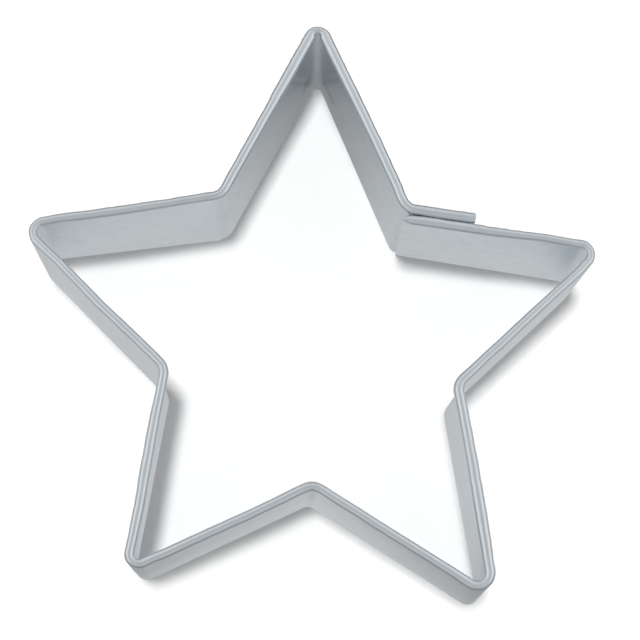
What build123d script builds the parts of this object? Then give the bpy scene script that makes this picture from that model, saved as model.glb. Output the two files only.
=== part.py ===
from build123d import *
from math import acos, cos, degrees, radians, sin
import os

# Star shaped cookie cutter. One strip of tinplate stands on its plain cutting edge and is bent
# to a five pointed star. Its top edge is rolled inwards to a round bead, the side that is held.
# The two ends of the strip lap at the upper right notch, where a spot weld joins them.
# Sizes are in millimetres and angles in degrees. Z is up and Y points along the top arm.
# The origin is on the table, under the middle of the cutter.

# Strip
sheet = 0.3
depth = 22.6

# Bead along the top edge, and the gap that the curled edge leaves to the wall
bead = 1.5
curl_gap = 0.08

# Star, from its centre to the corners of the bead's middle line before they are rounded
tip_reach = 44.0
notch_reach = 22.2

# Arms clockwise from the lap: right, lower right, lower left, left and top. The bending is by
# hand, so each arm has its own bearing, its own share of the reach and its own lean, which is
# how far the corner moves in X and Y from the rim to the foot, as shares of the depth.
tip_bearings = (16.1, -56.8, -126.7, -199.2, -270.8)
tip_reach_shares = (0.995, 1.025, 0.965, 1.012, 1.066)
tip_lean_shares = ((0.005, -0.004), (0.024, -0.023), (-0.030, -0.022), (-0.020, 0.015), (0.021, -0.055))

# Notches clockwise, the lapped one first
notch_bearings = (49.1, -21.3, -89.9, -164.1, -235.5)
notch_reach_shares = (0.978, 0.987, 1.006, 0.987, 1.067)
notch_lean_shares = ((-0.057, 0.011), (0.003, -0.010), (-0.005, -0.001), (-0.010, -0.015), (0.027, -0.027))

# Bend radii of the bead's middle line, and of the outside of the strip at the foot
rim_tip_bend = 1.5
rim_tip_bend_shares = (1.07, 1.20, 0.90, 1.13, 0.80)
rim_notch_bend = 2.2
foot_tip_bend = 1.9
foot_tip_bend_shares = (1.05, 0.85, 1.00, 1.15, 0.85)
foot_notch_bend = 1.6
foot_notch_bend_shares = (1.0, 1.25, 1.0, 1.0, 1.9)

# Lap, from the notch corner: the length of the outer end's tab, how far the inner end passes
# the corner at the rim and stops short of it at the foot, and the gaps between the plies.
# Both ends are cut square, and the notch corner leans, so the lengths differ from rim to foot.
tab_rim_length = 9.2
tab_foot_length = 10.4
inner_end_past_rim = 1.3
inner_end_short_foot = 0.4
bead_gap = 0.1
ply_gap = 0.05

# Spot weld, its distance from the end of the tab and from the foot, and its depth in each ply
weld_diameter = 1.2
weld_end_margin = 0.5
weld_foot_margin = 0.9
weld_bite = 0.15

bead_radius = bead / 2
bead_level = depth - bead_radius
tightest_rim_bend = bead_radius + sheet
tightest_foot_bend = 2 * sheet


def star_corners(reach, reach_shares, bearings):
    """Corners at their own shares of the reach, in the order of the bearings"""
    return [
        Vector(reach * share * cos(radians(bearing)), reach * share * sin(radians(bearing)))
        for share, bearing in zip(reach_shares, bearings)
    ]


def outward(start, end):
    """Unit vector to the outside of a side that runs clockwise"""
    return (end - start).normalized().rotate(Axis.Z, 90)


def crossing(start_1, end_1, start_2, end_2):
    """Point where two lines in the plan meet"""
    way_1 = end_1 - start_1
    way_2 = end_2 - start_2
    across = way_1.cross(way_2).Z
    return start_1 + way_1 * ((start_2 - start_1).cross(way_2).Z / across)


def moved_out(points, distance, closed=False):
    """A line of sides with each side moved outwards and its corners found again"""
    count = len(points)
    sides = [(points[i], points[(i + 1) % count]) for i in range(count if closed else count - 1)]
    moved = [(a + outward(a, b) * distance, b + outward(a, b) * distance) for a, b in sides]
    corners = [crossing(*moved[i - 1], *moved[i]) for i in range(0 if closed else 1, len(moved))]
    if closed:
        return corners
    return [moved[0][0], *corners, moved[-1][1]]


def strip_line(star, inner_end, lap_step, tab_length):
    """The strip's line from its inner end, clockwise round the star, to the end of its tab"""
    notch, first_tip, last_tip = star[0], star[1], star[-1]
    run = (first_tip - notch).normalized()
    step = outward(notch, first_tip) * lap_step
    outer_notch = crossing(last_tip, notch, notch + step, first_tip + step)
    return [notch - run * inner_end, *star[1:], outer_notch, notch + step + run * tab_length]


def bend_radii(tip_bends, notch_bends, tightest, distance):
    """Radii from the first tip round to the lapped notch, on a line moved out by a distance"""
    bends = zip(tip_bends, notch_bends[1:] + notch_bends[:1])
    radii = [(max(tip, tightest) + distance, max(notch, tightest) - distance) for tip, notch in bends]
    return [radius for pair in radii for radius in pair]


def strip_face(outer_points, outer_radii, inner_points, inner_radii, level):
    """Plan section of the strip at a level"""
    outside = FilletPolyline(*outer_points, radius=outer_radii)
    inside = FilletPolyline(*inner_points, radius=inner_radii)
    ends = [Line(outer_points[0], inner_points[0]), Line(outer_points[-1], inner_points[-1])]
    section = make_face([*outside.edges(), *inside.edges(), *[end.edge() for end in ends]])
    return Pos(0, 0, level) * section


# Star outlines: the bead's middle line at the rim, and the outside of the strip at the foot
tips = star_corners(tip_reach, tip_reach_shares, tip_bearings)
notches = star_corners(notch_reach, notch_reach_shares, notch_bearings)
rim_star = [corner for pair in zip(notches, tips) for corner in pair]
lean_shares = [lean for pair in zip(notch_lean_shares, tip_lean_shares) for lean in pair]
foot_star = [
    corner + Vector(*lean) * depth
    for corner, lean in zip(moved_out(rim_star, bead_radius, closed=True), lean_shares)
]
rim_line = strip_line(rim_star, inner_end_past_rim, bead + bead_gap, tab_rim_length)
foot_line = strip_line(foot_star, -inner_end_short_foot, sheet + ply_gap, tab_foot_length)

rim_tip_bends = [rim_tip_bend * share for share in rim_tip_bend_shares]
rim_notch_bends = [rim_notch_bend] * len(notches)
foot_tip_bends = [foot_tip_bend * share for share in foot_tip_bend_shares]
foot_notch_bends = [foot_notch_bend * share for share in foot_notch_bend_shares]


def rim_radii(distance):
    return bend_radii(rim_tip_bends, rim_notch_bends, tightest_rim_bend, distance)


def foot_radii(distance):
    return bend_radii(foot_tip_bends, foot_notch_bends, tightest_foot_bend, distance)


def wall():
    """Strip from the foot up to the level where the bead starts to curl"""
    foot_face = strip_face(
        foot_line, foot_radii(0), moved_out(foot_line, -sheet), foot_radii(-sheet), 0
    )
    rim_outside = bead_radius
    rim_inside = bead_radius - sheet
    rim_face = strip_face(
        moved_out(rim_line, rim_outside), rim_radii(rim_outside),
        moved_out(rim_line, rim_inside), rim_radii(rim_inside), bead_level,
    )
    return loft([foot_face, rim_face], ruled=True)


def curl_section(frame):
    """Ring that leaves the wall, goes over the top and curls back under to the wall's inside"""
    curl_stop = degrees(acos((sheet + curl_gap) / bead_radius - 1))
    turn = 180 + curl_stop
    outer_arc = CenterArc((0, 0), bead_radius, -curl_stop, turn)
    inner_arc = CenterArc((0, 0), bead_radius - sheet, -curl_stop, turn)
    seams = [Line(outer_arc @ end, inner_arc @ end) for end in (0, 1)]
    edges = [outer_arc.edge(), inner_arc.edge(), *[seam.edge() for seam in seams]]
    return frame * make_face(edges)


def rolled_bead():
    """Curl swept along the bead's middle line"""
    path = Pos(0, 0, bead_level) * FilletPolyline(*rim_line, radius=rim_radii(0))
    inwards = outward(rim_line[0], rim_line[1]) * -1
    frame = Plane(path @ 0, x_dir=inwards, z_dir=(path % 0) * -1)
    return sweep(curl_section(frame), path=path)


def spot_weld():
    """Nugget between the two plies of the lap, near the foot of the tab"""
    weld_radius = weld_diameter / 2
    weld_height = weld_foot_margin + weld_radius
    height_share = weld_height / bead_level
    foot_run = (foot_line[1] - foot_line[0]).normalized()
    out = outward(foot_line[0], foot_line[1])
    along = foot_run * (tab_foot_length - weld_end_margin - weld_radius)
    foot_point = foot_star[0] + along
    rim_point = moved_out(rim_star, bead_radius, closed=True)[0] + along
    inner_ply_face = foot_point + (rim_point - foot_point) * height_share
    rim_space = bead + bead_gap - sheet
    space = ply_gap + (rim_space - ply_gap) * height_share
    start = inner_ply_face - out * weld_bite + Vector(0, 0, weld_height)
    frame = Plane(start, x_dir=foot_run, z_dir=out)
    return extrude(frame * Circle(weld_radius), space + 2 * weld_bite)


weld = spot_weld()
band = wall() + rolled_bead() - weld

# The origin goes under the middle of the cutter
middle = band.bounding_box().center()
to_origin = Pos(-middle.X, -middle.Y, 0)
nodes = {"star_band": band, "spot_weld": weld}

os.makedirs("parts", exist_ok=True)
for name, piece in nodes.items():
    placed = to_origin * piece
    placed.label = name
    export_step(placed, f"parts/{name}.step")
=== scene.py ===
from collections import namedtuple
from math import cos, exp, pi, radians, sin, tan

import bpy
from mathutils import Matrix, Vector, noise


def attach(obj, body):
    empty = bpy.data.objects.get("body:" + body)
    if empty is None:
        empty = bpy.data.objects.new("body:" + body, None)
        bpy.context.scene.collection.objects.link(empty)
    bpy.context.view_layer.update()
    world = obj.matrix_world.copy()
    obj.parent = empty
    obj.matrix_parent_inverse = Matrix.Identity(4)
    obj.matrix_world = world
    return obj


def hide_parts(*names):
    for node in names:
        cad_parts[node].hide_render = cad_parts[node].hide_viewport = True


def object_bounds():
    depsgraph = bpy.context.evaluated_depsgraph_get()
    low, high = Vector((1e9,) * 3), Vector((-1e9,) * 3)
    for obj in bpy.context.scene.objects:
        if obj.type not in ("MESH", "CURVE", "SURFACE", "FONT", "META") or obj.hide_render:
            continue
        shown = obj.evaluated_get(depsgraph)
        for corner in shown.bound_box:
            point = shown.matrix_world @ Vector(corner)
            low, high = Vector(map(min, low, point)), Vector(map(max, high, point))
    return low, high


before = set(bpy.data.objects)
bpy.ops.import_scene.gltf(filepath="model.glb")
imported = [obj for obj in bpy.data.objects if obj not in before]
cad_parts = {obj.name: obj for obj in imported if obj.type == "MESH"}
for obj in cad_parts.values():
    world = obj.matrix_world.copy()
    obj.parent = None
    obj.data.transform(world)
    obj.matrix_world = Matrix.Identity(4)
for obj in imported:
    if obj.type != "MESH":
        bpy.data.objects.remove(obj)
cad_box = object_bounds()

# Sizes are in millimetres here, as in the CAD, and turned to metres when a mesh is made.
# The band is made again as one fine mesh on the CAD's star, with what hand bending leaves in the
# sheet and the solid leaves out: bowed sides, a bead of uneven width, dents and creases.
MILLIMETRE = 0.001

sheet = 0.3
depth = 22.6
bead_radius = 0.75
bead_level = depth - bead_radius

# How far the cutting edge's corners are cut back, and the angle from which an edge is sharp
foot_ease = 0.05
sharp_angle = radians(40)

# Curl of the bead, with the least radius that its inner face keeps where the bead is narrow
curl_turn = radians(300)
curl_steps = 30
least_curl = 0.02

# Centre of the star, from the origin under the middle of the cutter
star_centre = Vector((0.069, -3.982))

# Arms clockwise from the lap, then notches clockwise with the lapped one first
tip_reach = 44.0
tip_bearings = (16.1, -56.8, -126.7, -199.2, -270.8)
tip_reach_shares = (0.995, 1.025, 0.965, 1.012, 1.066)
tip_lean_shares = ((0.005, -0.004), (0.024, -0.023), (-0.030, -0.022), (-0.020, 0.015), (0.021, -0.055))
notch_reach = 22.2
notch_bearings = (49.1, -21.3, -89.9, -164.1, -235.5)
notch_reach_shares = (0.978, 0.987, 1.006, 0.987, 1.067)
notch_lean_shares = ((-0.057, 0.011), (0.003, -0.010), (-0.005, -0.001), (-0.010, -0.015), (0.027, -0.027))

# Bend radii from the first tip round to the lapped notch
rim_bends = (1.6, 2.2, 1.8, 2.2, 1.35, 2.2, 1.7, 2.2, 1.2, 2.2)
foot_bends = (2.0, 2.0, 1.6, 1.6, 1.9, 1.6, 2.2, 3.0, 1.3, 1.6)

# Lap
tab_rim_length = 9.2
tab_foot_length = 10.4
inner_end_past_rim = 1.3
inner_end_short_foot = 0.4
bead_gap = 0.1
ply_gap = 0.05

# How far each run's rim bows outwards, by share of the run, from the inner end to the tab
rim_bows = (
    (
        (0, -0.48), (0.05, -0.34), (0.13, -0.32), (0.30, -0.24), (0.50, -0.20),
        (0.60, -0.16), (0.66, -0.10), (0.76, 0.04), (1, 0),
    ),
    ((0, 0), (0.10, 0.11), (0.30, 0.03), (0.60, 0.04), (1, 0.02)),
    ((0, -0.04), (0.15, 0.06), (0.30, 0.13), (0.70, 0.16), (1, 0.06)),
    ((0, 0), (0.15, -0.05), (0.50, -0.02), (1, -0.04)),
    ((0, -0.10), (0.30, 0.04), (0.85, 0.03), (1, -0.04)),
    ((0, 0.04), (0.25, -0.13), (0.50, -0.06), (0.70, -0.06), (1, -0.16)),
    ((0, -0.20), (0.20, -0.16), (0.45, 0.01), (0.80, -0.12), (1, -0.04)),
    ((0, 0.10), (0.10, 0.18), (0.25, 0.04), (0.40, -0.02), (0.60, -0.05), (1, 0)),
    ((0, -0.04), (0.60, -0.02), (1, 0)),
    ((0, 0), (0.60, 0.14), (0.90, 0.06), (1, -0.10)),
    ((0, -0.30), (0.30, -0.30), (1, -0.24)),
)

# Width of each run's bead as a share of the full one, narrow at the inner end and the tab's corner.
# Past the share of the last run in tab_corner_share, the tab's bead narrows from its outer side.
bead_shares = (
    (
        (0, 0.30), (0.006, 0.42), (0.017, 0.60), (0.035, 0.85), (0.055, 1.03), (0.38, 1.03),
        (0.50, 0.95), (0.62, 0.86), (0.76, 0.79), (1, 0.82),
    ),
    ((0, 0.84), (0.25, 0.84), (0.50, 0.91), (0.90, 0.92), (1, 0.98)),
    ((0, 1.04), (0.30, 1.08), (0.70, 1.14), (1, 1.02)),
    ((0, 0.92), (0.15, 0.87), (1, 0.88)),
    ((0, 0.92), (0.30, 0.89), (1, 0.88)),
    ((0, 0.92), (0.30, 1), (0.50, 1.06), (0.70, 1.02), (1, 0.94)),
    ((0, 0.90), (0.50, 0.91), (0.80, 0.83), (1, 0.83)),
    ((0, 0.85), (0.20, 0.90), (0.50, 0.94), (0.85, 0.88), (1, 0.92)),
    ((0, 1), (0.45, 1), (0.75, 1.14), (1, 1.12)),
    ((0, 1.12), (0.30, 1.10), (0.60, 1.06), (1, 1.04)),
    ((0, 1.04), (0.50, 1.06), (0.95, 1.06), (0.985, 0.96), (1, 0.78)),
)
tab_corner_share = 0.95

# Share of its width that the bead keeps in the middle of each bend
bead_bend_shares = (0.94, 1, 1, 1, 1, 1, 0.94, 1, 0.66, 1)

# Marks on the sheet along short lines, most of them pressed into it: the run, both ends of the line as
# the way along the run and the height, the mark's reach, how far it moves the sheet outwards, or inwards
# where it is negative, and how much it darkens the inside of the star: a stain at the weld and the
# scuffs, painted shade along the creases and in the narrow tip between runs 8 and 9
Mark = namedtuple("Mark", "run start end reach push stain")
weld_height = 1.5
weld_push = 0.07
marks = (
    Mark(0, (8.9, weld_height), (8.9, weld_height), 0.32, weld_push, 0.3),
    Mark(10, (9.3, weld_height), (9.3, weld_height), 0.32, -weld_push, 0.3),
    Mark(0, (14.0, 1.2), (14.5, 1.3), 0.35, 0.05, 0.2),
    Mark(0, (15.3, 1.5), (15.5, 1.3), 0.30, 0.04, 0.2),
    # Creases at the tip between runs 8 and 9, darkened along their length with painted shade
    Mark(8, (21.9, 15.0), (26.2, 5.5), 0.35, 0.12, 0.2),
    Mark(9, (0.0, 5.0), (4.8, 16.0), 0.35, 0.12, 0.2),
    Mark(8, (26.0, 3.4), (28.6, 4.2), 0.40, -0.10, 0),
    Mark(9, (0.6, 4.2), (3.2, 3.4), 0.40, -0.10, 0),
    # Painted shade, with no dent: two dark patches low in the narrow tip between runs 8 and 9
    Mark(8, (25.4, 5.6), (27.4, 5.2), 1.3, 0, 0.6),
    Mark(9, (1.8, 5.2), (3.8, 5.6), 1.3, 0, 0.6),
)

# Kink in the bead just past the end of the tab
kink_run = 0
kink_place = 12.6
kink_reach = 0.35
kink_depth = 0.05

# Unevenness of the wall and of the bead, with the bead's finer dents: the size of each, how close
# its waves lie along the strip, and the layer of the noise that it is taken from
wall_wave = 0.05
wall_wave_scale = 0.12
wall_wave_scale_up = 0.1
wall_wave_layer = 4
bead_wave = 0.025
bead_wave_scale = 0.35
bead_wave_layer = 9
bead_dent = 0.02
bead_dent_scale = 1.1
bead_dent_layer = 3

# How far the bead's middle moves for each millimetre that the unevenness adds to its radius
bead_sway = 2

# Heights of the wall's rows near the weld, and the count of rows from there up to the bead
weld_rows = [0.05, 0.3, 0.6, 0.8, 1.0, 1.2, 1.35, 1.5, 1.65, 1.8, 2.0, 2.3, 2.7]
rows_above = 26

# Least squared length of a mark's line, for the marks that are only a point
least_length = 1e-9

Station = namedtuple("Station", "at normal run share bend")


def star_corners(reach, shares, bearings):
    return [
        Vector((cos(radians(b)), sin(radians(b)))) * reach * share
        for share, b in zip(shares, bearings)
    ]


def outward(start, end):
    run = (end - start).normalized()
    return Vector((-run.y, run.x))


def cross(a, b):
    return a.x * b.y - a.y * b.x


def crossing(start_1, end_1, start_2, end_2):
    way_1 = end_1 - start_1
    way_2 = end_2 - start_2
    return start_1 + way_1 * (cross(start_2 - start_1, way_2) / cross(way_1, way_2))


def closed_line_moved_out(points, distance):
    sides = [(points[i - 1], points[i]) for i in range(len(points))]
    moved = [(a + outward(a, b) * distance, b + outward(a, b) * distance) for a, b in sides]
    return [crossing(*moved[i], *moved[(i + 1) % len(points)]) for i in range(len(points))]


def strip_line(star, inner_end, lap_step, tab_length):
    notch, first_tip, last_tip = star[0], star[1], star[-1]
    run = (first_tip - notch).normalized()
    step = outward(notch, first_tip) * lap_step
    outer_notch = crossing(last_tip, notch, notch + step, first_tip + step)
    return [notch - run * inner_end, *star[1:], outer_notch, notch + step + run * tab_length]


def bend_at(before, corner, after, radius):
    """Start, centre, start normal, turn, signed arm and end of the arc that rounds a corner"""
    way_in = (corner - before).normalized()
    way_out = (after - corner).normalized()
    turn = -way_in.angle_signed(way_out)
    back = radius * tan(abs(turn) / 2)
    arm = radius if turn < 0 else -radius
    start = corner - way_in * back
    normal = Vector((-way_in.y, way_in.x))
    return start, start - normal * arm, normal, turn, arm, corner + way_out * back


def stations(points, bends, run_shares, bend_steps):
    """Stations along a line of runs and bends, with the same count for any radii"""
    arcs = [bend_at(*points[i:i + 3], bends[i]) for i in range(len(points) - 2)]
    starts = [points[0], *[arc[-1] for arc in arcs]]
    ends = [*[arc[0] for arc in arcs], points[-1]]
    out = []
    for run, (start, end) in enumerate(zip(starts, ends)):
        normal = outward(start, end)
        out += [Station(start.lerp(end, share), normal, run, share, 0) for share in run_shares[run]]
        if run == len(arcs):
            break
        _, centre, first_normal, turn, arm, _ = arcs[run]
        for k in range(1, bend_steps):
            n = turned(first_normal, turn * k / bend_steps)
            bend = sin(pi * k / bend_steps)
            out.append(Station(centre + n * arm, n, run, 1 + k / bend_steps, bend))
    return out


def turned(vector, angle):
    c, s = cos(angle), sin(angle)
    return Vector((vector.x * c - vector.y * s, vector.x * s + vector.y * c))


def spread(*stretches):
    """Shares along a run from stretches of (start, end, steps), with both ends of the run"""
    shares = []
    for start, end, steps in stretches:
        shares += [start + (end - start) * k / steps for k in range(steps)]
    return [*shares, stretches[-1][1]]


def eased(rows, share):
    """Value between rows of (share, value), eased from row to row"""
    for (low, before), (high, after) in zip(rows, rows[1:]):
        if share <= high:
            part = (share - low) / (high - low)
            return before + (after - before) * (1 - cos(pi * part)) / 2
    return rows[-1][1]


def along(tables, station):
    """A run's value at a station. A bend goes from the value at its run's end to the next start."""
    rows = tables[station.run]
    if station.share > 1:
        rows = ((1, rows[-1][1]), (2, tables[station.run + 1][0][1]))
    return eased(rows, station.share)


tips = star_corners(tip_reach, tip_reach_shares, tip_bearings)
notches = star_corners(notch_reach, notch_reach_shares, notch_bearings)
rim_star = [corner for pair in zip(notches, tips) for corner in pair]
leans = [Vector(lean) * depth for pair in zip(notch_lean_shares, tip_lean_shares) for lean in pair]
foot_star = [c + lean for c, lean in zip(closed_line_moved_out(rim_star, bead_radius), leans)]
rim_line = strip_line(rim_star, inner_end_past_rim, 2 * bead_radius + bead_gap, tab_rim_length)
foot_line = strip_line(foot_star, -inner_end_short_foot, sheet + ply_gap, tab_foot_length)

# Stations lie close together at the nose, the weld, the kink, the creases and the tab's end
plain_run = spread((0, 1, 32))
inner_run = spread((0, 0.08, 20), (0.08, 0.29, 10), (0.29, 0.39, 26), (0.39, 0.62, 44), (0.62, 1, 16))
run_to_crease = spread((0, 0.66, 20), (0.66, 1, 34))
run_from_crease = spread((0, 0.24, 28), (0.24, 1, 24))
tab_run = spread((0, 0.75, 12), (0.75, 1, 26))
run_shares = [inner_run, *[plain_run] * 7, run_to_crease, run_from_crease, tab_run]
bend_steps = 14
rim_stations = stations(rim_line, rim_bends, run_shares, bend_steps)
foot_stations = stations(foot_line, foot_bends, run_shares, bend_steps)


def run_length(line_stations, run):
    ends = [s.at for s in line_stations if s.run == run and s.share in (0, 1)]
    return (ends[-1] - ends[0]).length


rim_lengths = [run_length(rim_stations, run) for run in range(len(run_shares))]
foot_lengths = [run_length(foot_stations, run) for run in range(len(run_shares))]


def pressed(station, height):
    """How far the marks move the sheet outwards at a station and a height, and how much they darken it,
    with stains and painted shade
    """
    total, stain = 0, 0
    if station.share > 1:
        return total, stain
    level = height / bead_level
    length = foot_lengths[station.run] * (1 - level) + rim_lengths[station.run] * level
    place = Vector((station.share * length, height))
    for mark in marks:
        if mark.run != station.run:
            continue
        start, end = Vector(mark.start), Vector(mark.end)
        way = end - start
        part = min(max((place - start).dot(way) / max(way.length_squared, least_length), 0), 1)
        off = (place - start - way * part).length / mark.reach
        total += mark.push * exp(-off * off)
        stain += mark.stain * exp(-off * off)
    return total, stain


def waved(station, way_along, height):
    """Slight unevenness of the wall, none at the foot and the rim"""
    level = height / bead_level
    spot = (way_along * wall_wave_scale, height * wall_wave_scale_up, wall_wave_layer)
    return wall_wave * noise.noise(Vector(spot)) * sin(pi * level)


def kinked(station):
    place = station.share * rim_lengths[station.run]
    if station.run != kink_run or station.share > 1:
        return 0
    off = (place - kink_place) / kink_reach
    return kink_depth * exp(-off * off)


def bead_at(rim, way_along):
    """Middle, half width and half height of the bead's section"""
    share = along(bead_shares, rim)
    bow = along(rim_bows, rim)
    if rim.bend:
        kept = 1 - (1 - bead_bend_shares[rim.run]) * rim.bend
        bow += bead_radius * share * (1 - kept) / 2
        share *= kept
    if rim.run == len(rim_bows) - 1 and rim.share > tab_corner_share:
        bow -= bead_radius * (1 - share)
    wave_spot = Vector((way_along * bead_wave_scale, 0, bead_wave_layer))
    dent_spot = Vector((way_along * bead_dent_scale, 0, bead_dent_layer))
    rough = bead_wave * noise.noise(wave_spot) * (1 - rim.bend)
    rough += bead_dent * noise.noise(dent_spot)
    middle = rim.at + rim.normal * (bow + rough * bead_sway - kinked(rim))
    return middle, bead_radius * share + rough, bead_radius * min(share, 1)


def sheet_heights():
    """Heights of the wall's rows, close together at the weld"""
    last = weld_rows[-1]
    return weld_rows + [last + (bead_level - last) * (k + 1) / rows_above for k in range(rows_above)]


def band_ring(rim, foot, way_along, heights):
    """One closed section of the sheet: its points, their (along, up, side) and their stains and painted
    shade
    """
    middle, width, height_radius = bead_at(rim, way_along)
    wall_top = middle + rim.normal * width
    top = depth - height_radius
    outer = [(foot.at - foot.normal * foot_ease, 0, 0, 0)]
    inner = [(foot.at - foot.normal * (sheet - foot_ease), 0, 0, 0)]
    for height in heights:
        level = height / bead_level
        normal = foot.normal.lerp(rim.normal, level).normalized()
        push, stain = pressed(rim, height)
        at = foot.at.lerp(wall_top, level) + normal * (push + waved(rim, way_along, height))
        z = height * top / bead_level
        outer.append((at, z, height, 0))
        inner.append((at - normal * sheet, z, height, stain))
    for k in range(1, curl_steps + 1):
        angle = curl_turn * k / curl_steps
        for side, inset in ((outer, 0), (inner, sheet)):
            at = middle + rim.normal * max(width - inset, least_curl) * cos(angle)
            z = top + max(height_radius - inset, least_curl) * sin(angle)
            side.append((at, z, bead_level + bead_radius * angle, 0))
    ring = outer + inner[::-1]
    verts = [(*(p + star_centre), z) for p, z, _, _ in ring]
    sides = [0] * len(outer) + [1] * len(inner)
    places = [(way_along, up, side) for (_, _, up, _), side in zip(ring, sides)]
    return verts, places, [stain for _, _, _, stain in ring]


def ring_faces(rings, size):
    """Faces of a closed tube of rings with both of its ends shut between the sheet's two sides"""
    faces = []
    for i in range(rings - 1):
        for j in range(size):
            a, b = i * size + j, i * size + (j + 1) % size
            faces.append((a, b, b + size, a + size))
    for first, flip in ((0, False), ((rings - 1) * size, True)):
        for j in range(size // 2 - 1):
            quad = (first + j, first + size - 1 - j, first + size - 2 - j, first + j + 1)
            faces.append(quad[::-1] if flip else quad)
    return faces


def kept_in_box(point):
    """The point, held inside the CAD's own box, which the unevenness may pass by some micrometres"""
    return [min(max(value, low), high) for value, low, high in zip(point, *cad_box)]


def band_mesh():
    heights = sheet_heights()
    verts, places, bends, stains_and_shade = [], [], [], []
    way_along = 0
    before = rim_stations[0].at
    for rim, foot in zip(rim_stations, foot_stations):
        way_along += (rim.at - before).length
        before = rim.at
        ring, ring_places, ring_stains_and_shade = band_ring(rim, foot, way_along, heights)
        verts += ring
        places += ring_places
        stains_and_shade += ring_stains_and_shade
        bends += [rim.bend] * len(ring)
    mesh = bpy.data.meshes.new("star_band_skin")
    faces = ring_faces(len(rim_stations), len(ring))
    mesh.from_pydata([kept_in_box(Vector(v) * MILLIMETRE) for v in verts], [], faces)
    strip_place = mesh.attributes.new("strip_place", "FLOAT_VECTOR", "POINT")
    strip_place.data.foreach_set("vector", [value for place in places for value in place])
    for name, values in (("strip_bend", bends), ("strip_stain_and_shade", stains_and_shade)):
        mesh.attributes.new(name, "FLOAT", "POINT").data.foreach_set("value", values)
    mesh.validate()
    mesh.shade_smooth()
    mesh.set_sharp_from_angle(angle=sharp_angle)
    return mesh


# Sockets of the Mix node when it mixes colours
MIX_FACTOR, MIX_A, MIX_B, MIX_RESULT = 0, 6, 7, 2

# Where most of a noise texture's values lie
noise_range = (0.3, 0.7)


def node(tree, kind, inputs=None, **settings):
    """Shader node with its settings, and its inputs set to values or linked from sockets"""
    made = tree.nodes.new("ShaderNode" + kind)
    for name, value in settings.items():
        setattr(made, name, value)
    for key, value in (inputs or {}).items():
        if isinstance(value, bpy.types.NodeSocket):
            tree.links.new(value, made.inputs[key])
        else:
            made.inputs[key].default_value = value
    return made


def scaled(tree, place, scale):
    """A vector or a colour times another vector or a number's socket"""
    return node(tree, "VectorMath", {0: place, 1: scale}, operation="MULTIPLY").outputs[0]


def noise_of(tree, place, scale, detail=3, roughness=0.55):
    inputs = {"Vector": scaled(tree, place, scale), "Scale": 1, "Detail": detail, "Roughness": roughness}
    return node(tree, "TexNoise", inputs).outputs["Fac"]


def ranged(tree, value, from_range, to_range):
    inputs = {
        "Value": value, "From Min": from_range[0], "From Max": from_range[1],
        "To Min": to_range[0], "To Max": to_range[1],
    }
    return node(tree, "MapRange", inputs).outputs["Result"]


def calculated(tree, operation, a, b):
    return node(tree, "Math", {0: a, 1: b}, operation=operation).outputs[0]


def summed(tree, *values):
    total = values[0]
    for value in values[1:]:
        total = calculated(tree, "ADD", total, value)
    return total


def mixed(tree, factor, a, b):
    mix = node(tree, "Mix", data_type="RGBA")
    for key, value in ((MIX_FACTOR, factor), (MIX_A, a), (MIX_B, b)):
        if isinstance(value, bpy.types.NodeSocket):
            tree.links.new(value, mix.inputs[key])
        else:
            mix.inputs[key].default_value = value
    return mix.outputs[MIX_RESULT]


def new_material(name):
    material = bpy.data.materials.new(name)
    material.use_nodes = True
    return material, material.node_tree, material.node_tree.nodes["Principled BSDF"]


# Tinplate: its colours, the last one the dark of stains and of painted shade, and the height of its relief
# in metres
tin_dark = (0.680, 0.730, 0.765, 1)
tin_light = (0.792, 0.842, 0.876, 1)
tin_soiled_and_shaded = (0.42, 0.47, 0.49, 1)
tin_relief = 0.000012

# Its noises, as scales along and up the strip
rolling_scale = (0.06, 6.0, 1)
mottle_scale = (0.45, 0.55, 1)
clouds_scale = (0.07, 0.12, 1)
grain_scale = (2.2, 4.5, 1)
strain_and_shade_scale = (5.0, 0.10, 1)
scratch_scale = (0.35, 3.2, 1)
wander_scale = (0.5, 0.5, 1)
patch_scale = (0.22, 0.3, 1)
scratch_width = 0.035
patch_range = (0.56, 0.66)
cut_edge_heights = (0.05, 0.35)
soil_and_shade_range = (0.05, 0.5)
soil_and_shade_most = 0.9

# What each adds to the tone between the two colours, to the roughness and to the relief. The tone holds
# a painted glint from the scratches and the cut edge, and painted shade from the bends.
mottle_tone, rolling_tone, grain_tone = (0.2, 0.6), (-0.14, 0.14), (-0.12, 0.12)
scratch_glint_tone, cut_edge_glint_tone, bend_shade_tone = 0.35, 0.5, -0.35
clouds_dullness, mottle_dullness, rolling_dullness = (0.33, 0.39), (0.03, -0.03), (-0.02, 0.02)
strain_dullness, cut_edge_dullness = 0.14, -0.06
rolling_relief, mottle_relief, grain_relief = 0.5, 1.6, 0.5
strain_relief, scratch_relief = 1.2, -0.3


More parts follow.
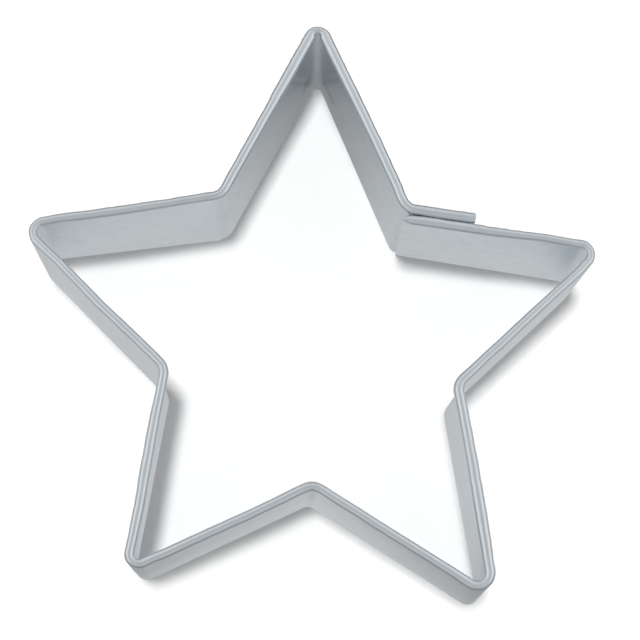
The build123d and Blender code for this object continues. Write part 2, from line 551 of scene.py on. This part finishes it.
def tinplate():
    """Satin tinned sheet: rolling lines along the strip, mottle, scratches with a painted glint, a cut
    edge made bright with a painted glint, painted shade in the bends, and stains and painted shade from
    the marks
    """
    material, tree, shader = new_material("tinplate")
    place = node(tree, "Attribute", attribute_name="strip_place").outputs["Vector"]
    bend = node(tree, "Attribute", attribute_name="strip_bend").outputs["Fac"]
    stain = node(tree, "Attribute", attribute_name="strip_stain_and_shade").outputs["Fac"]
    up = node(tree, "SeparateXYZ", {0: place}).outputs["Y"]

    rolling = noise_of(tree, place, rolling_scale, 4, 0.6)
    mottle = noise_of(tree, place, mottle_scale, 5, 0.65)
    clouds = noise_of(tree, place, clouds_scale, 2)
    grain = noise_of(tree, place, grain_scale, 3, 0.7)
    # Bends: strain lines that roughen and raise the sheet, and painted shade where they darken the tone
    strain_and_bend_shade = calculated(tree, "MULTIPLY", noise_of(tree, place, strain_and_shade_scale, 3), bend)

    scratch_place = scaled(tree, place, scratch_scale)
    wander = noise_of(tree, place, wander_scale, 2)
    bent_place = node(tree, "VectorMath", {0: scratch_place, 1: wander}, operation="ADD").outputs[0]
    cells = node(tree, "TexVoronoi", {"Vector": bent_place, "Scale": 1}, feature="DISTANCE_TO_EDGE")
    lines = ranged(tree, cells.outputs["Distance"], (0, scratch_width), (1, 0))
    patches = ranged(tree, noise_of(tree, place, patch_scale, 2), patch_range, (0, 1))
    # Scratches: grooves in the relief, and a painted glint where they lighten the tone
    scratches_and_glint = calculated(tree, "MULTIPLY", lines, patches)
    # The cut edge at the bottom of the sheet: smoother, and lighter with a painted glint
    cut_edge_and_glint = ranged(tree, up, cut_edge_heights, (1, 0))

    tone = summed(
        tree,
        ranged(tree, mottle, noise_range, mottle_tone),
        ranged(tree, rolling, noise_range, rolling_tone),
        ranged(tree, grain, noise_range, grain_tone),
        calculated(tree, "MULTIPLY", scratches_and_glint, scratch_glint_tone),
        calculated(tree, "MULTIPLY", cut_edge_and_glint, cut_edge_glint_tone),
        calculated(tree, "MULTIPLY", strain_and_bend_shade, bend_shade_tone),
    )
    colour = mixed(tree, tone, tin_dark, tin_light)
    # Darker where the marks ask for it: stains at the weld and the scuffs, painted shade along the creases
    # and in the narrow tip
    soiled_and_shaded = ranged(tree, calculated(tree, "MULTIPLY", stain, mottle), soil_and_shade_range, (0, soil_and_shade_most))
    colour = mixed(tree, soiled_and_shaded, colour, tin_soiled_and_shaded)
    tree.links.new(colour, shader.inputs["Base Color"])

    dullness = summed(
        tree,
        ranged(tree, clouds, noise_range, clouds_dullness),
        ranged(tree, mottle, noise_range, mottle_dullness),
        ranged(tree, rolling, noise_range, rolling_dullness),
        calculated(tree, "MULTIPLY", strain_and_bend_shade, strain_dullness),
        calculated(tree, "MULTIPLY", cut_edge_and_glint, cut_edge_dullness),
    )
    tree.links.new(dullness, shader.inputs["Roughness"])
    shader.inputs["Metallic"].default_value = 1

    relief = summed(
        tree,
        ranged(tree, rolling, (0, 1), (0, rolling_relief)),
        ranged(tree, mottle, (0, 1), (0, mottle_relief)),
        ranged(tree, grain, (0, 1), (0, grain_relief)),
        calculated(tree, "MULTIPLY", strain_and_bend_shade, strain_relief),
        calculated(tree, "MULTIPLY", scratches_and_glint, scratch_relief),
    )
    bump = node(tree, "Bump", {"Strength": 1, "Distance": tin_relief, "Height": relief})
    tree.links.new(bump.outputs["Normal"], shader.inputs["Normal"])
    return material


# Weld metal: its colours and roughness, its noises as scales in each direction, and its relief
weld_dark = (0.30, 0.30, 0.31, 1)
weld_light = (0.46, 0.46, 0.45, 1)
weld_roughness = (0.42, 0.62)
pits_scale = (9000, 9000, 9000)
tint_scale = (2500, 2500, 2500)
weld_relief = 0.00002


def weld_metal():
    """Fused metal of the spot weld, duller and darker than the sheet, with a fine pitted skin"""
    material, tree, shader = new_material("weld_metal")
    place = node(tree, "TexCoord").outputs["Object"]
    pits = noise_of(tree, place, pits_scale, 4, 0.7)
    tint = noise_of(tree, place, tint_scale, 2)
    colour = mixed(tree, ranged(tree, tint, noise_range, (0, 1)), weld_dark, weld_light)
    tree.links.new(colour, shader.inputs["Base Color"])
    tree.links.new(ranged(tree, pits, noise_range, weld_roughness), shader.inputs["Roughness"])
    shader.inputs["Metallic"].default_value = 1
    bump = node(tree, "Bump", {"Strength": 1, "Distance": weld_relief, "Height": pits})
    tree.links.new(bump.outputs["Normal"], shader.inputs["Normal"])
    return material


band = bpy.data.objects.new("star_band_skin", band_mesh())
bpy.context.scene.collection.objects.link(band)
band.data.materials.append(tinplate())
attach(band, "root")
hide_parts("star_band")

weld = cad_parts["spot_weld"]
for slot in weld.material_slots:
    slot.material = weld_metal()

# Studio: white paper under a pale dome, a softbox on each side, and a key light for the shadow
floor_reach = 3.0
paper_white = 0.88
paper_roughness = 0.9
paper_shine = 0.2
paper_glow = 0.16
paper_fade = (0.07, 0.30)
dome_diffuse_share = 0.36

# Brightness that the metal mirrors: of the paper by distance from a middle, in metres and with
# the distance sideways counted by a share, and of the dome by height as a share of its radius
paper_in_metal = (
    (0, 0.68), (0.018, 0.71), (0.026, 0.67), (0.036, 0.51),
    (0.048, 0.35), (0.08, 0.25), (0.20, 0.34),
)
paper_middle = (0, -0.010, 0)
sideways_share = 0.33
dome_in_metal = ((0, 0.31), (0.15, 0.47), (0.28, 0.74), (0.75, 0.75), (0.92, 0.66), (1.0, 0.52))

# What the dome's brightness is multiplied by, from its middle to where the sides are full, and
# from the near side to the far side
dome_to_the_sides = (0.84, 1.20)
sides_full_at = 0.5
dome_to_the_far_side = (0.78, 1.11)

# Softboxes at the left and the right, and the key light at the upper left, almost overhead
side_height = 38
side_distance = 1.0
side_size = (1.0, 0.5)
side_power = 0.3
key_bearing = 147
key_height = 86.3
key_distance = 1.2
key_size = (0.12, 0.12)
key_power = 13.0

# Camera, found from the photo
camera_sensor = 36
camera_lens = 75.94
camera_nearest = 0.01
camera_place = (-0.005474, -0.046057, 0.208880)
camera_turn = (0.226687, -0.034532, 0)


def banded(tree, value, rows):
    """Brightness by rows of (value, brightness), as a colour"""
    reach = rows[-1][0]
    ramp = node(tree, "ValToRGB", {0: calculated(tree, "DIVIDE", value, reach)})
    for i, (place, brightness) in enumerate(rows):
        position = place / reach
        stop = ramp.color_ramp.elements[i] if i < 2 else ramp.color_ramp.elements.new(position)
        stop.position = position
        stop.color = (brightness, brightness, brightness, 1)
    return ramp.outputs[0]


def in_metal(tree):
    """One for rays that metal or glass sends on to the camera, and zero for light that falls on paper"""
    rays = node(tree, "LightPath").outputs
    mirrored = calculated(tree, "MAXIMUM", rays["Is Glossy Ray"], rays["Is Transmission Ray"])
    straight = calculated(tree, "LESS_THAN", rays["Diffuse Depth"], 0.5)
    return calculated(tree, "MULTIPLY", mirrored, straight)


def paper():
    """White paper with a glow for the camera, full far away. Metal mirrors it without its shadow."""
    material, tree, shader = new_material("paper")
    shader.inputs["Base Color"].default_value = (paper_white, paper_white, paper_white, 1)
    shader.inputs["Roughness"].default_value = paper_roughness
    shader.inputs["Specular IOR Level"].default_value = paper_shine
    position = node(tree, "NewGeometry").outputs["Position"]
    to_camera = node(tree, "LightPath").outputs["Is Camera Ray"]
    glow = node(tree, "Emission", {"Color": (1, 1, 1, 1), "Strength": 1}).outputs[0]
    distance = node(tree, "VectorMath", {0: position}, operation="LENGTH").outputs["Value"]
    share = calculated(tree, "MULTIPLY", to_camera, ranged(tree, distance, paper_fade, (paper_glow, 1)))
    lit = node(tree, "MixShader", {0: share, 1: shader.outputs[0], 2: glow}).outputs[0]
    away = node(tree, "VectorMath", {0: position, 1: paper_middle}, operation="SUBTRACT").outputs[0]
    away = scaled(tree, away, (sideways_share, 1, 1))
    oval = node(tree, "VectorMath", {0: away}, operation="LENGTH").outputs["Value"]
    mirrored = node(tree, "Emission", {"Color": banded(tree, oval, paper_in_metal)}).outputs[0]
    surface = node(tree, "MixShader", {0: in_metal(tree), 1: lit, 2: mirrored}).outputs[0]
    tree.links.new(surface, tree.nodes["Material Output"].inputs["Surface"])
    return material


def floor():
    mesh = bpy.data.meshes.new("floor")
    corners = [(-1, -1), (1, -1), (1, 1), (-1, 1)]
    mesh.from_pydata([(x * floor_reach, y * floor_reach, 0) for x, y in corners], [], [(0, 1, 2, 3)])
    mesh.materials.append(paper())
    thing = bpy.data.objects.new("floor", mesh)
    bpy.context.scene.collection.objects.link(thing)
    return thing


def dome():
    """The dome's light on the paper is held back, so that the key light's shadow shows there"""
    world = bpy.data.worlds.new("studio")
    world.use_nodes = True
    tree = world.node_tree
    way = node(tree, "TexCoord").outputs["Generated"]
    across, back, height = node(tree, "SeparateXYZ", {0: way}).outputs
    sideways = node(tree, "Math", {0: across}, operation="ABSOLUTE").outputs[0]
    by_bearing = calculated(
        tree, "MULTIPLY",
        ranged(tree, sideways, (0, sides_full_at), dome_to_the_sides),
        ranged(tree, back, (-1, 1), dome_to_the_far_side),
    )
    background = tree.nodes["Background"]
    brightness = scaled(tree, banded(tree, height, dome_in_metal), by_bearing)
    to_camera = node(tree, "LightPath").outputs["Is Camera Ray"]
    tree.links.new(mixed(tree, to_camera, brightness, (1, 1, 1, 1)), background.inputs["Color"])
    shown = calculated(tree, "MAXIMUM", in_metal(tree), to_camera)
    tree.links.new(ranged(tree, shown, (0, 1), (dome_diffuse_share, 1)), background.inputs["Strength"])
    return world


def softbox(name, bearing, height, distance, size, power, mirrored=True):
    """Lamp that looks at the cutter from a bearing and a height above the floor, in degrees"""
    lamp = bpy.data.lights.new(name, "AREA")
    lamp.shape = "RECTANGLE"
    lamp.size, lamp.size_y = size
    lamp.energy = power
    thing = bpy.data.objects.new(name, lamp)
    bpy.context.scene.collection.objects.link(thing)
    flat = cos(radians(height))
    way = Vector((flat * cos(radians(bearing)), flat * sin(radians(bearing)), sin(radians(height))))
    thing.location = way * distance
    thing.rotation_euler = way.to_track_quat("Z", "Y").to_euler()
    thing.visible_glossy = mirrored
    return thing


floor()
bpy.context.scene.world = dome()
softbox("left", 180, side_height, side_distance, side_size, side_power)
softbox("right", 0, side_height, side_distance, side_size, side_power)
softbox("key", key_bearing, key_height, key_distance, key_size, key_power, mirrored=False)

camera_data = bpy.data.cameras.new("camera")
camera_data.sensor_width = camera_sensor
camera_data.lens = camera_lens
camera_data.clip_start = camera_nearest
camera = bpy.data.objects.new("camera", camera_data)
bpy.context.scene.collection.objects.link(camera)
camera.location = camera_place
camera.rotation_euler = camera_turn
bpy.context.scene.camera = camera
bpy.context.scene.view_settings.view_transform = "Standard"
